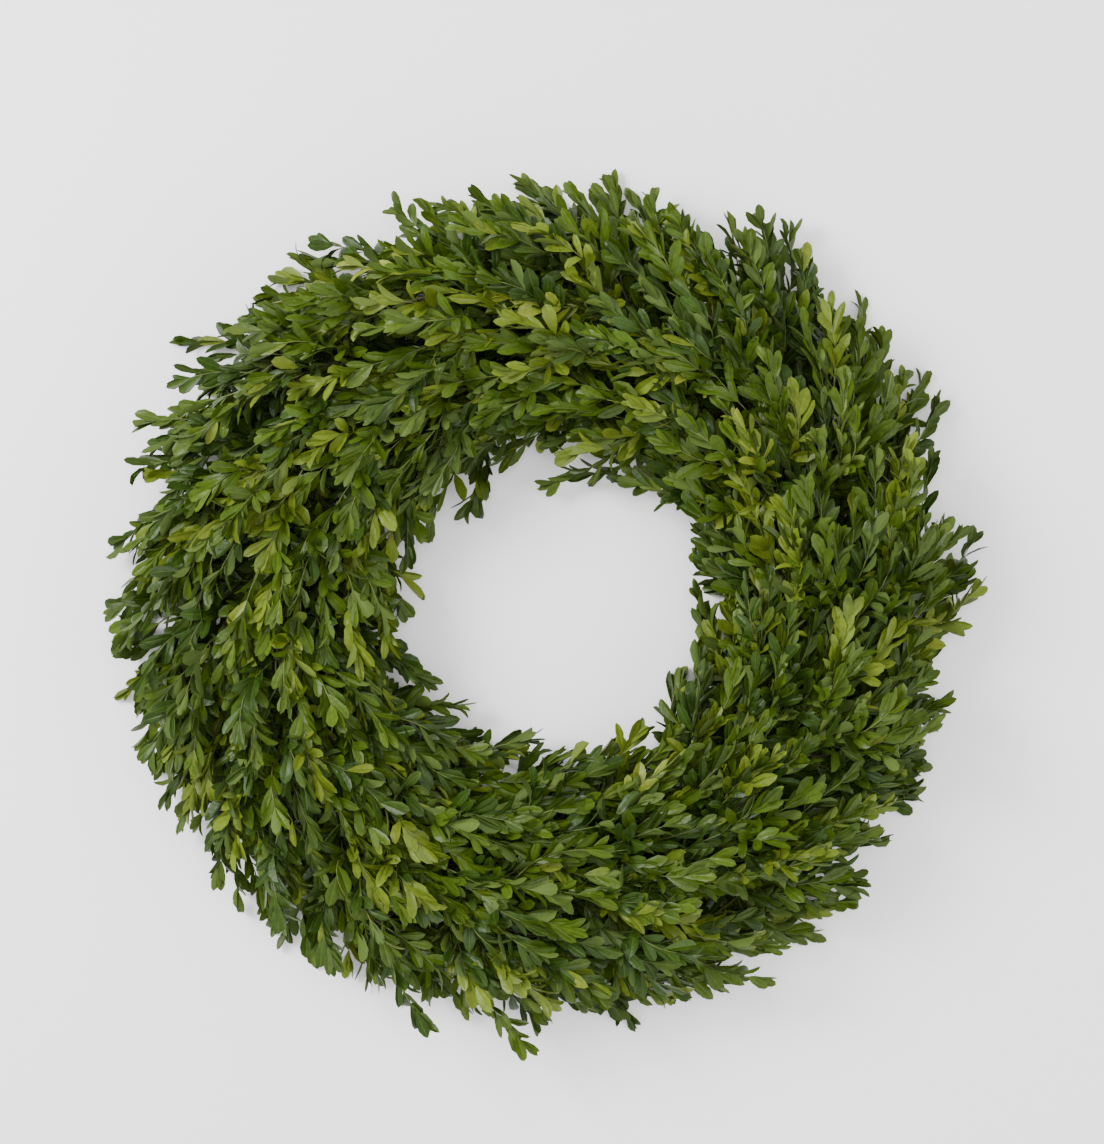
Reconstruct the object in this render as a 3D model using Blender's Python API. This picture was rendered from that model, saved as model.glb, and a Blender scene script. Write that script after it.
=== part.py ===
"""Boxwood wreath, lying on its back with its front up.

A ring of twigs carries leafy bunches in four rows, all laid one way round. Binding wire goes round the ring
once for each station and holds one bunch of every row as it passes.
Metres, +Z up. The origin is the middle of the wreath's box, at the surface that the wreath lies on.
"""

import math
import random

import bmesh
import bpy
from mathutils import Matrix, Vector
from mathutils.bvhtree import BVHTree

# The whole
STATIONS = 14
CLEAR_GAP = 0.0003  # between pieces that touch
HOLE_RADIUS = 0.080  # nothing stands into the wreath's hole further than this
LEAF_MARGIN = 0.00036  # kept round each leaf
LOWEST_LEAF = 0.0010  # above the surface that the wreath lies on

# The ring of twigs
RING_RADIUS = 0.170  # to the middle of the twigs
RING_SECTION = 0.0118  # radius of the bundle of twigs
TWIG_LOBE = 0.0009  # how far single twigs stand out of the bundle
TWIGS = 3
TWIG_TURNS = 5  # turns that the twigs make round each other on their way round
RING_SIDES = 8
RING_STEPS_PER_STATION = 4
LOW_SPOT_STATIONS = (1, 6, 10)  # the ring rests on three thick places
LOW_SPOT_STEPS = (2, 3)

# The binding wire
WIRE_RADIUS = 0.0007
WIRE_STEPS = 12  # points for each turn
WIRE_RISE = 0.8  # share of the ring's section over which the wire leaves the ring to pass over the stems

# The bunches
STEM_RADIUS = 0.0022
STEM_TAIL = 0.014  # from the cut end to the wire
STEM_LIFT_OFF = 0.010  # from the wire to where the stem leaves the ring
CORE_HALF_WIDTH = 0.0068
CORE_HALF_HEIGHT = 0.0040
LENGTH_SPREAD = 0.05  # share by which bunches differ in length
FULLER_TOWARDS = math.radians(140)  # bunches that start here are longer, so that the left is a little fuller
FULLNESS = 0.12  # share of length
# Each row: where its stems lie round the ring's section, where its bunches lean to and where its leaves
# face, in degrees from straight out over the front to the hole; how far alternate bunches lean apart; the
# lift off the ring's run at the start and at the end, and the share of the length by which it is at its end;
# the length from the wire to the end of the core; and how much longer the leaves away from the hole are.
ROWS = {
    "outer": dict(seat=0, lean=12, facing=56, sway=10, lift=(72, 14, 0.78), length=0.159, reach=1.25),
    "upper_outer": dict(seat=60, lean=62, facing=74, sway=9, lift=(84, 8, 0.72), length=0.130, reach=1.0),
    "upper_inner": dict(seat=120, lean=112, facing=104, sway=9, lift=(84, 8, 0.74), length=0.116, reach=1.0),
    "inner": dict(seat=180, lean=158, facing=122, sway=8, lift=(84, 10, 0.84), length=0.096, reach=1.0),
}
# Share of a bunch's length by which it has its full lift, faces its way and leans its way
LIFTED_BY = 0.17
FACES_BY = 0.25
LEANS_BY = 0.67
# The corners along a bunch's core: share of its length, of its half width and of its half height
CORE_RINGS = (
    (0.26, 0.80, 0.80),
    (0.42, 1.00, 1.00),
    (0.58, 1.00, 1.00),
    (0.73, 0.85, 0.90),
    (0.87, 0.65, 0.80),
    (1.00, 0.40, 0.60),
)

# The leaves, about twice life size so that they cover the wreath
LEAF_LENGTH = 0.038
LEAF_HALF_WIDTH = 0.0100
LEAF_TIP_HALF_WIDTH = 0.0034
LEAF_THICKNESS = 0.0009
LEAF_SHOULDER = 0.62  # share of the length where a leaf is widest
LEAF_BEND = 16  # degrees by which the tip turns back
# Each leaf of a bunch: the segment of the core and the side of it that the leaf grows from, degrees between
# leaf and stem, degrees of roll that shingle it over the next, and share of the full length
LEAVES = (
    (6, "end", 4, 0, 1.0),
    (5, "left", 30, 30, 0.94),
    (5, "right", 30, -30, 0.94),
    (5, "top", 22, 0, 0.94),
    (4, "left", 38, 30, 1.0),
    (4, "right", 38, -30, 1.0),
    (4, "top", 26, 0, 1.0),
    (3, "left", 44, 30, 1.0),
    (3, "right", 44, -30, 1.0),
    (3, "top", 30, 0, 1.0),
    (2, "left", 50, 30, 1.0),
    (2, "right", 50, -30, 1.0),
    (1, "top", 36, 0, 1.0),
)
# A leaf that would cross another is bent clear. Each try at it may stray further: from the first of each of
# these pairs up to both of them together.
PLACING_TRIES = 60
STRAY_ROUND_STEM = (4, 40)  # degrees
STRAY_FROM_STEM = (3, 22)
STRAY_IN_ROLL = (5, 40)
SIZE_SPREAD = 0.06
MOST_SHRINK = 0.35
CROWDED_SHARE = 0.4  # of a leaf's first half, next to the core, where it may touch its own neighbours
SEED = 22

GREENS = {
    "deep_green": (0.030, 0.055, 0.012),
    "mid_green": (0.062, 0.100, 0.018),
    "fresh_green": (0.130, 0.180, 0.030),
}
GREEN_SHARES = (3, 5, 2)
BARK = (0.115, 0.070, 0.042)
WIRE_GREEN = (0.025, 0.045, 0.025)

TURN = 2 * math.pi
STEM_SEAT = RING_SECTION + TWIG_LOBE + CLEAR_GAP + STEM_RADIUS
WIRE_OVER_STEMS = STEM_SEAT + STEM_RADIUS + CLEAR_GAP + WIRE_RADIUS
WIRE_UNDER_RING = RING_SECTION + TWIG_LOBE + CLEAR_GAP + WIRE_RADIUS
RING_HEIGHT = WIRE_UNDER_RING + WIRE_RADIUS + 2 * CLEAR_GAP


def clear_scene():
    for old in list(bpy.data.objects):
        bpy.data.objects.remove(old, do_unlink=True)


def plant_material(name, colour, roughness, metallic=0.0):
    made = bpy.data.materials.new(name)
    made.use_nodes = True
    shader = made.node_tree.nodes["Principled BSDF"]
    shader.inputs["Base Color"].default_value = (*colour, 1.0)
    shader.inputs["Roughness"].default_value = roughness
    shader.inputs["Metallic"].default_value = metallic
    return made


def section_direction(theta, phi):
    """Away from the middle of the ring's section: phi is 0 away from the hole and 90 degrees on the front."""
    across = math.cos(phi)
    return Vector((across * math.cos(theta), across * math.sin(theta), math.sin(phi)))


def ring_point(theta, phi, distance):
    middle = Vector((RING_RADIUS * math.cos(theta), RING_RADIUS * math.sin(theta), RING_HEIGHT))
    return middle + section_direction(theta, phi) * distance


def smooth_step(value):
    value = min(max(value, 0.0), 1.0)
    return value * value * (3 - 2 * value)


def station_angle(station, phi):
    """Where the wire passes phi on its turn for this station. Under the ring it keeps clear of the low spots."""
    half_step = TURN / (2 * STATIONS * RING_STEPS_PER_STATION)
    return half_step + TURN / STATIONS * (station + (phi + math.pi / 2) / TURN)


def make_ring(collection, bark):
    """A torus whose surface is drawn out into twigs that twist round each other, with three low flat spots."""
    steps = STATIONS * RING_STEPS_PER_STATION
    bpy.ops.mesh.primitive_torus_add(
        major_radius=RING_RADIUS, minor_radius=RING_SECTION, major_segments=steps, minor_segments=RING_SIDES
    )
    ring = bpy.context.object
    for linked in list(ring.users_collection):
        linked.objects.unlink(ring)
    collection.objects.link(ring)
    low_steps = [
        RING_STEPS_PER_STATION * station + step for station in LOW_SPOT_STATIONS for step in LOW_SPOT_STEPS
    ]
    half_side = math.pi / RING_SIDES
    for vertex in ring.data.vertices:
        x, y, z = vertex.co
        theta = math.atan2(y, x)
        phi = math.atan2(z, math.hypot(x, y) - RING_RADIUS) + half_side
        lobe = TWIG_LOBE * math.cos(TWIGS * phi + TWIG_TURNS * theta)
        place = ring_point(theta, phi, RING_SECTION + lobe)
        faces_down = math.sin(phi) < -math.cos(1.5 * half_side)
        if faces_down and round(theta / TURN * steps) % steps in low_steps:
            place.z = 0.0
        vertex.co = place
    ring.name = ring.data.name = "twig_ring"
    ring.data.materials.append(bark)
    ring.data.shade_smooth()
    return ring


def make_wire(collection, green):
    curve = bpy.data.curves.new("binding_wire", "CURVE")
    curve.dimensions = "3D"
    curve.bevel_depth = WIRE_RADIUS
    curve.bevel_resolution = 0
    spline = curve.splines.new("POLY")
    spline.points.add(STATIONS * WIRE_STEPS - 1)
    spline.use_cyclic_u = True
    for index, point in enumerate(spline.points):
        station, step = divmod(index, WIRE_STEPS)
        phi = TURN * step / WIRE_STEPS - math.pi / 2
        over_stems = smooth_step((math.sin(phi) + 1) / WIRE_RISE)
        distance = WIRE_UNDER_RING + over_stems * (WIRE_OVER_STEMS - WIRE_UNDER_RING)
        point.co = (*ring_point(station_angle(station, phi), phi, distance), 1.0)
    curve.materials.append(green)
    wire = bpy.data.objects.new("binding_wire", curve)
    collection.objects.link(wire)
    return wire


class BunchAxis:
    """The line along the middle of a bunch, walked in small steps from its cut end to its tip."""

    STEP = 0.001

    def __init__(self, row, station, length):
        seat = math.radians(row["seat"])
        lean = math.radians(row["lean"] + (row["sway"] if station % 2 else -row["sway"]))
        facing = math.radians(row["facing"])
        first_lift, last_lift = (math.radians(angle) for angle in row["lift"][:2])
        self.length = length
        self.points = []
        self.outward = []
        theta = station_angle(station, seat) - STEM_TAIL / RING_RADIUS
        distance = STEM_SEAT
        for step in range(round((STEM_TAIL + length) / self.STEP) + 1):
            past_lift_off = step * self.STEP - STEM_TAIL - STEM_LIFT_OFF
            share = max(past_lift_off, 0.0) / (length - STEM_LIFT_OFF)
            settled = min(share / row["lift"][2], 1.0)
            lift = (first_lift + (last_lift - first_lift) * settled) * smooth_step(share / LIFTED_BY)
            phi = seat + (lean - seat) * smooth_step(share / LEANS_BY)
            face_angle = seat + (facing - seat) * smooth_step(share / FACES_BY)
            self.points.append(ring_point(theta, phi, distance))
            self.outward.append(section_direction(theta, face_angle))
            theta += math.cos(lift) * self.STEP / (RING_RADIUS + distance * math.cos(phi))
            distance += math.sin(lift) * self.STEP

    def at(self, along):
        """Point, direction, outward direction and sideways direction at a distance past the wire."""
        index = min(max(round((along + STEM_TAIL) / self.STEP), 1), len(self.points) - 2)
        direction = (self.points[index + 1] - self.points[index - 1]).normalized()
        outward = self.outward[index]
        outward = (outward - direction * outward.dot(direction)).normalized()
        return self.points[index], direction, outward, direction.cross(outward)


CORNERS = ((-1, -1), (1, -1), (1, 1), (-1, 1))  # side and level, in their order round a four-sided face


def four_corners(centre, across, face, half_width, half_height):
    return {
        (side, level): centre + across * (side * half_width) + face * (level * half_height)
        for side, level in CORNERS
    }


def named_corners(base, across, face):
    """The vertices of a four-sided face by the corner that each stands for."""
    centre = base.calc_center_median()

    def angle(vertex):
        offset = vertex.co - centre
        return math.atan2(offset.dot(face), offset.dot(across))

    return dict(zip(CORNERS, sorted(base.verts, key=angle)))


def grow(shaped, base, corners, across, face):
    """Extrude a four-sided face and carry its corners out. Returns the face at the new end and the walls."""
    end = bmesh.ops.extrude_discrete_faces(shaped, faces=[base])["faces"][0]
    walls = {wall for edge in end.edges for wall in edge.link_faces if wall != end}
    for corner, vertex in named_corners(end, across, face).items():
        vertex.co = corners[corner]
    return end, walls


class LeafPlan:
    """One try at a leaf: where its shoulders and its tip would be, from the face that it grows out of."""

    def __init__(self, base, frame, spec, reach, draws, loose):
        _, side_name, forward, roll, size = spec
        direction, outward, side = frame
        spread = {"left": -side, "right": side, "top": outward, "end": outward}[side_name]
        turn, lean, tilt = (
            math.radians(draws.uniform(-1, 1) * (least + most * loose))
            for least, most in (STRAY_ROUND_STEM, STRAY_FROM_STEM, STRAY_IN_ROLL)
        )
        forward = math.radians(forward) + lean
        roll = math.radians(roll) + tilt
        scale = size * (1 - MOST_SHRINK * loose) * (1 + draws.uniform(-SIZE_SPREAD, SIZE_SPREAD))
        spread = Matrix.Rotation(turn, 3, direction) @ spread
        self.root = base.calc_center_median()
        self.run = direction * math.cos(forward) + spread * math.sin(forward)
        self.face = (outward - self.run * outward.dot(self.run)).normalized()
        self.across = self.run.cross(self.face)
        self.rolled = Matrix.Rotation(roll, 3, self.run) @ self.face
        self.length = LEAF_LENGTH * scale * (reach if side_name == "right" else 1.0)
        self.half_width = LEAF_HALF_WIDTH * scale
        self.tip_half_width = LEAF_TIP_HALF_WIDTH * scale

    def rings(self, margin=0.0):
        """Corners of the shoulders and of the tip, set out by a margin."""
        across = self.run.cross(self.rolled)
        bend = Matrix.Rotation(-math.radians(LEAF_BEND), 3, across)
        shoulders = self.root + self.run * (self.length * LEAF_SHOULDER)
        tip = shoulders + bend @ self.run * (self.length * (1 - LEAF_SHOULDER) + margin)
        half_height = LEAF_THICKNESS / 2 + margin
        return (
            four_corners(shoulders, across, self.rolled, self.half_width + margin, half_height),
            four_corners(tip, across, bend @ self.rolled, self.tip_half_width + margin, half_height),
        )


# The walls of a leaf's guard between its three rings of four corners. Each wall is split both ways, so that
# it holds the leaf however its own walls are split.
GUARD_WALLS = [
    (4 * ring + corner, 4 * ring + (corner + 1) % 4, 4 * ring + 4 + (corner + 1) % 4, 4 * ring + 4 + corner)
    for ring in (0, 1)
    for corner in range(4)
] + [(8, 9, 10, 11)]
GUARD_FACES = [
    corners for a, b, c, d in GUARD_WALLS for corners in ((a, b, c), (a, c, d), (a, b, d), (b, c, d))
]


class Guard:
    """A shape to test crossings with, and the ball that holds it."""

    def __init__(self, corners, faces):
        self.corners = corners
        self.tree = BVHTree.FromPolygons(corners, faces)
        self.middle = sum(corners, Vector()) / len(corners)
        self.radius = max((corner - self.middle).length for corner in corners)

    def meets(self, other):
        if (self.middle - other.middle).length > self.radius + other.radius:
            return False
        return bool(self.tree.overlap(other.tree))

    def leaves_the_wreath(self):
        too_low = min(corner.z for corner in self.corners) < LOWEST_LEAF
        return too_low or min(math.hypot(corner.x, corner.y) for corner in self.corners) < HOLE_RADIUS


def mesh_guard(shaped):
    corners = [vertex.co.copy() for vertex in shaped.verts]
    shaped.verts.index_update()
    return Guard(corners, [[vertex.index for vertex in face.verts] for face in shaped.faces])


def leaf_guards(plan, base):
    """The whole leaf with its clearance, and the part of it that is past the crowd at the core."""
    base_corners = named_corners(base, plan.across, plan.face)
    base_ring = {corner: vertex.co.copy() for corner, vertex in base_corners.items()}
    shoulders, tip = plan.rings(LEAF_MARGIN)
    part_way = {corner: base_ring[corner].lerp(shoulders[corner], CROWDED_SHARE) for corner in CORNERS}
    return [
        Guard([ring[corner] for ring in (first, shoulders, tip) for corner in CORNERS], GUARD_FACES)
        for first in (base_ring, part_way)
    ]


class Bunch:
    """A stem with a core that leaves are raised from, each out of a face of its own."""

    def __init__(self, name, axis, reach):
        self.name = name
        self.axis = axis
        self.reach = reach
        self.shaped = bmesh.new()
        self.leaf_guards = []
        self.segments = [{}]
        end = self.start_stem()
        for share, width, height in CORE_RINGS:
            place, direction, outward, side = axis.at(axis.length * share)
            corners = four_corners(place, side, outward, width * CORE_HALF_WIDTH, height * CORE_HALF_HEIGHT)
            end, walls = grow(self.shaped, end, corners, side, outward)
            self.segments.append(
                {
                    "left": min(walls, key=lambda wall: (wall.calc_center_median() - place).dot(side)),
                    "right": max(walls, key=lambda wall: (wall.calc_center_median() - place).dot(side)),
                    "top": max(walls, key=lambda wall: (wall.calc_center_median() - place).dot(outward)),
                    "frame": (direction, outward, side),
                }
            )
        self.segments[-1]["end"] = end
        self.core_guard = mesh_guard(self.shaped)

    def start_stem(self):
        """The stretch of stem that the wire holds. Returns the face at its leafy end."""
        bmesh.ops.create_cube(self.shaped, size=2)
        half = STEM_RADIUS * math.sqrt(0.5)
        for vertex in self.shaped.verts:
            across, along, up = (round(value) for value in vertex.co)
            place, _, outward, side = self.axis.at(-STEM_TAIL if along < 0 else STEM_LIFT_OFF / 2)
            vertex.co = place + side * (across * half) + outward * (up * half)
        self.shaped.normal_update()
        direction = self.axis.at(0.0)[1]
        return max(self.shaped.faces, key=lambda face: face.calc_center_median().dot(direction))

    def add_leaf(self, others, spec, draws):
        """Raise a leaf in the first clear place near its own. Returns False where there is no room."""
        segment = self.segments[spec[0]]
        base = segment[spec[1]]
        for attempt in range(PLACING_TRIES):
            plan = LeafPlan(base, segment["frame"], spec, self.reach, draws, attempt / PLACING_TRIES)
            whole, free_part = leaf_guards(plan, base)
            if whole.leaves_the_wreath() or any(whole.meets(other) for other in others):
                continue
            if any(whole.meets(free) or free_part.meets(full) for full, free in self.leaf_guards):
                continue
            shoulders, tip = plan.rings()
            end, _ = grow(self.shaped, base, shoulders, plan.across, plan.face)
            across = plan.run.cross(plan.rolled)
            grow(self.shaped, end, tip, across, plan.rolled)
            self.leaf_guards.append((whole, free_part))
            return True
        return False

    def finish(self, collection, material):
        bmesh.ops.recalc_face_normals(self.shaped, faces=self.shaped.faces)
        origin = self.axis.at(0.0)[0]
        bmesh.ops.translate(self.shaped, verts=self.shaped.verts, vec=-origin)
        mesh = bpy.data.meshes.new(self.name)
        self.shaped.to_mesh(mesh)
        self.shaped.free()
        mesh.materials.append(material)
        made = bpy.data.objects.new(self.name, mesh)
        made.location = origin
        collection.objects.link(made)
        return made


def evaluated_guard(made):
    """A guard from an object as it is shown, with its modifiers or its bevel."""
    bpy.context.view_layer.update()
    shown = made.evaluated_get(bpy.context.evaluated_depsgraph_get())
    shaped = bmesh.new()
    shaped.from_mesh(shown.to_mesh())
    shaped.transform(made.matrix_world)
    shown.to_mesh_clear()
    guard = mesh_guard(shaped)
    shaped.free()
    return guard


def centre_on_origin(objects, collection):
    """Carry everything by one empty, so that the middle of the whole wreath's box is over the origin."""
    wreath = bpy.data.objects.new("wreath", None)
    collection.objects.link(wreath)
    corners = [corner for made in objects for corner in evaluated_guard(made).corners]
    for made in objects:
        made.parent = wreath
    for axis in (0, 1):
        values = [corner[axis] for corner in corners]
        wreath.location[axis] = -(min(values) + max(values)) / 2


def main():
    clear_scene()
    collection = bpy.data.collections.new("boxwood_wreath")
    bpy.context.scene.collection.children.link(collection)
    bark = plant_material("vine_bark", BARK, 0.85)
    wire_green = plant_material("wire_green", WIRE_GREEN, 0.45, metallic=0.6)
    greens = [plant_material(name, colour, 0.5) for name, colour in GREENS.items()]
    ring = make_ring(collection, bark)
    wire = make_wire(collection, wire_green)

    draws = random.Random(SEED)
    bunches = []
    for row_name, row in ROWS.items():
        for station in range(STATIONS):
            tip_angle = station_angle(station + 1, math.radians(row["seat"]))
            fullness = FULLNESS * math.cos(tip_angle - FULLER_TOWARDS)
            length = row["length"] * (1 + fullness + draws.uniform(-LENGTH_SPREAD, LENGTH_SPREAD))
            axis = BunchAxis(row, station, length)
            bunches.append(Bunch(f"bunch_{row_name}_{station + 1:02d}", axis, row["reach"]))
    frame = [evaluated_guard(ring), evaluated_guard(wire)]
    missing = 0
    for spec in LEAVES:
        for bunch in bunches:
            others = frame + [other.core_guard for other in bunches if other is not bunch]
            others += [whole for other in bunches if other is not bunch for whole, _ in other.leaf_guards]
            missing += not bunch.add_leaf(others, spec, draws)
    made = [bunch.finish(collection, draws.choices(greens, GREEN_SHARES)[0]) for bunch in bunches]
    centre_on_origin([ring, wire] + made, collection)
    print("leaves that found no room:", missing)


main()
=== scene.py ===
"""Boxwood wreath, the looks: leafy sprigs on every bunch, the ring of twined twigs and its binding wire.

Metres, +Z up. The wreath lies on its back and the camera looks straight down on its front.
"""

import math
import random

import bpy
import numpy as np
from mathutils import Matrix, Vector


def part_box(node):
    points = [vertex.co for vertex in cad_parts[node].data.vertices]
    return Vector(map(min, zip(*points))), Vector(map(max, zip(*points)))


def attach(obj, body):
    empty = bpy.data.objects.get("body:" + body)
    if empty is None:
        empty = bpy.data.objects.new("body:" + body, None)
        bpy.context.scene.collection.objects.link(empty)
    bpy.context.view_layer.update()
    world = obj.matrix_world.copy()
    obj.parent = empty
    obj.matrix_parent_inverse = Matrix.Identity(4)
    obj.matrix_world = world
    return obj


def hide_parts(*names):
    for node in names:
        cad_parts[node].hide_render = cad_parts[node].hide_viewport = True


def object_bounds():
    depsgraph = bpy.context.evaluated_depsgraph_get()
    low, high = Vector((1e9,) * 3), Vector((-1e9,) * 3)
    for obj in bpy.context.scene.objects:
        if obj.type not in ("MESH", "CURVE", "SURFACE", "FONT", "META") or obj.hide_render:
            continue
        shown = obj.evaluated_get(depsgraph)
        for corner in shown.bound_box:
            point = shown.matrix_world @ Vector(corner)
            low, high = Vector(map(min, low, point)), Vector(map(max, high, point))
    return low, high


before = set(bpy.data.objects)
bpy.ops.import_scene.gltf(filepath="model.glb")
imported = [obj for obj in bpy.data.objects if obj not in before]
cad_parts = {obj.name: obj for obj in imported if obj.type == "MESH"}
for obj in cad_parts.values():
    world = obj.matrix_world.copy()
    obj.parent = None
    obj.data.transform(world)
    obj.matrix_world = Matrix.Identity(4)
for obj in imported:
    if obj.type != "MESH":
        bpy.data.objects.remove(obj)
cad_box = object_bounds()

TURN = 2 * math.pi

# The ring, its wire and the stems under the wire, from the same values as the solids
STATIONS = 14
RING_STEPS_PER_STATION = 4
RING_RADIUS = 0.170
RING_SECTION = 0.0118
TWIG_LOBE = 0.0009
CLEAR_GAP = 0.0003
WIRE_RADIUS = 0.0007
STEM_RADIUS = 0.0022
STEM_SEAT = RING_SECTION + TWIG_LOBE + CLEAR_GAP + STEM_RADIUS
WIRE_OVER_STEMS = STEM_SEAT + STEM_RADIUS + CLEAR_GAP + WIRE_RADIUS
WIRE_UNDER_RING = RING_SECTION + TWIG_LOBE + CLEAR_GAP + WIRE_RADIUS
RING_HEIGHT = WIRE_UNDER_RING + WIRE_RADIUS + 2 * CLEAR_GAP
ring_low, ring_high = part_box("twig_ring")
RING_MIDDLE = Vector(((ring_low.x + ring_high.x) / 2, (ring_low.y + ring_high.y) / 2, RING_HEIGHT))

# The line along the middle of each bunch, from the same values as the solids. Ways round the ring's
# section are in degrees, from 0 away from the hole to 90 on the front.
#   seat        where the row's stems lie on the ring
#   lean        where its bunches lean to, and sway, how far neighbours lean to either side of that
#   faces       which way the upper side of its bunches faces
#   lift        how steeply a bunch leaves the ring, in degrees, at first and at last
#   lifted      the share of its length by which it has come to the last
#   length      from the wire to the tip
ROWS = {
    "outer": dict(seat=0, lean=12, sway=10, faces=56, lift=(72, 14), lifted=0.78, length=0.159),
    "upper_outer": dict(seat=60, lean=62, sway=9, faces=74, lift=(84, 8), lifted=0.72, length=0.130),
    "upper_inner": dict(seat=120, lean=112, sway=9, faces=104, lift=(84, 8), lifted=0.74, length=0.116),
    "inner": dict(seat=180, lean=158, sway=8, faces=122, lift=(84, 10), lifted=0.84, length=0.096),
}
STEM_TAIL = 0.014  # a stem's stretch behind the wire
STEM_LIFT_OFF = 0.010  # how far past the wire it still lies along the ring
# By what shares of its length a bunch has fully lifted off, faces its way and leans its way
LIFTED_BY = 0.17
FACES_BY = 0.25
LEANS_BY = 0.67
# Shares by which bunches differ in length: by chance, and with the longest towards one side of the wreath
LENGTH_SPREAD = 0.05
FULLNESS = 0.12
FULLER_TOWARDS = math.radians(140)
SOLIDS_SEED = 22

# The stems. A bunch has three, of which the first is the longest.
STEMS = 3
STEM_BUNDLE = 0.0011  # from the middle of the bundle to each stem, at the wire
STEM_FAN = (0.95, -0.95, 0.0)  # shares of the fan, sideways
FANNED_BY = 2 / 3  # the share of the bunch's length by which they have fanned out
STEM_EDGE_BEND = 0.012  # the stretch over which a stem bends round before its edge
STEM_RADII = (0.00105, 0.00065)  # at the cut end and at the tip
STEM_STEPS = 16
STEM_SIDES = 5

# The sprigs along the stems, for each row:
#   count       how many, besides the three at the ends of the stems
#   low         how many more stay low beside the ring
#   side        how many short ones more head straight away from the ring by the wire
#   length      of the shortest and of the longest
#   turn        degrees by which a sprig's first stretch turns away from its stem, least and most
#   fan, sink   how far the stems fan out sideways, and how far they lie under the bunch's middle line
#   ends        each stem's reach, as a share of the bunch's length
#   edges       how far from the middle of the wreath each stem gets at most
SPRIG_ROWS = {
    "outer": dict(
        count=30, low=6, side=5, length=(0.050, 0.076), turn=(28, 52),
        fan=0.012, sink=-0.002, ends=(1.0, 0.92, 0.94), edges=(0.238, 0.225, 0.207),
    ),
    "upper_outer": dict(
        count=22, low=3, side=0, length=(0.044, 0.066), turn=(30, 54),
        fan=0.017, sink=0.005, ends=(1.0, 0.92, 0.76), edges=(0.240, 0.228, 0.216),
    ),
    "upper_inner": dict(
        count=18, low=2, side=0, length=(0.042, 0.062), turn=(30, 54),
        fan=0.016, sink=0.005, ends=(1.0, 0.92, 0.76), edges=(0.244, 0.232, 0.219),
    ),
    "inner": dict(
        count=16, low=4, side=2, length=(0.036, 0.056), turn=(26, 50),
        fan=0.012, sink=0.002, ends=(1.0, 0.92, 0.76), edges=(0.244, 0.232, 0.219),
    ),
}
# The sprig at the end of each stem: its length on the first stem, how much longer it is on each further
# stem, and how far short of its reach a stem ends for it
END_SPRIG = 0.044
END_SPRIG_LONGER = 0.004
END_SPRIG_ROOM = 0.7 * END_SPRIG
# The sprigs along a stem: how far past the wire and how far before the stem's reach they start, and which
# ways they lean round it, in degrees from 0 on the bunch's outer side to 90 straight out of the wreath
ALONG_STARTS = (0.008, 0.028)
LEANS = (0, 180, 90, 35, 145, 60, -20, 200, 120)
LEAN_SPREAD = 14
# The low sprigs: where they start past the wire, which ways they lean and how far they turn away
LOW_STARTS = (-0.013, 0.022)
LOW_AROUND = (-30, 210)
LOW_TURN = (0, 18)
GOLDEN_SHARE = 0.618  # sends each low sprig to another part of that stretch than the last one
LOW_START_SPREAD = 0.3
# The short sprigs that head straight away from the ring
SIDE_STARTS = (-0.012, 0.013)
SIDE_AROUND = (62, 112)
SIDE_TURN = (48, 78)
SIDE_LENGTH = (0.040, 0.060)

# The shoot of a sprig
SPRIG_STEPS = 7
FEWEST_POINTS = 3  # a sprig that is cut shorter than this is left out
SHOOT_RADII = (0.00058, 0.00028)  # at its base and at its tip
SHOOT_SIDES = 3
SPRIG_ROLL = 28  # spread of the degrees that a sprig is turned round itself
# The way that sprigs settle into: degrees outwards from straight round the ring, over its middle, and
# more towards the outline or less towards the hole
FLOW_TURN = 13
FLOW_TURN_OUT = 24
FLOW_TURN_IN = 42
FLOW_FALL = 0.7  # how much the sprigs that turn most sink towards both edges
FLOW_RISE = (0.06, 0.16)  # middle and spread
# Sprigs and leaves turn away from the floor and from the greatest height, over a short stretch
FLOOR_EDGE = 0.0030
TOP_EDGE = cad_box[1].z + 0.004
SOFT_EDGE = 0.022
# Sprigs end at the hole and at the outline, each at a radius of its own: middle and spread
HOLE_EDGE = (0.0885, 0.015)
RIM_EDGE = (0.2625, 0.008)
# Where those edges lie further out, or less far: degrees round the wreath, spread in degrees, and how far
HOLE_SWELLS = ((24, 15, 0.021), (312, 13, -0.016))
RIM_SWELLS = ((42, 18, 0.009), (195, 24, 0.008), (345, 9, -0.013), (105, 28, -0.004), (262, 24, -0.005))

# The leaves, in opposite pairs. Values for each pair go from the tip of the sprig to its base.
PAIR_SPACING = 0.0076
FIRST_SPACING = 0.55  # share of it between the tip's pair and the next
SPACING_SPREAD = (0.85, 1.15)
LOWEST_PAIR = 0.006  # from the shoot's base
PAIR_SETTING = (12, 56, -16, -60)  # degrees that a pair is turned round the shoot
SETTING_SPREAD = 14
OPENINGS = (12, 16, 20, 24, 27, 29)  # degrees from the shoot to the leaf
OPENING_SPREAD = 7
LEAF_SIZES = (0.78, 0.92, 1.0, 1.04, 1.04, 1.0)
SIZE_SPREAD = (0.80, 1.18)
WIDTH_SPREAD = (0.72, 1.18)
LEAF_LENGTH = 0.0192
LEAF_HALF_WIDTH = 0.00375
BLUNTNESS = (0.0, 0.75)
FRONTWARD = 0.9  # how much more than straight away from the ring the leaves face the front
FACES_SHOOT = 0.5  # how much a leaf's upper side faces its own shoot, against facing out of the wreath
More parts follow.
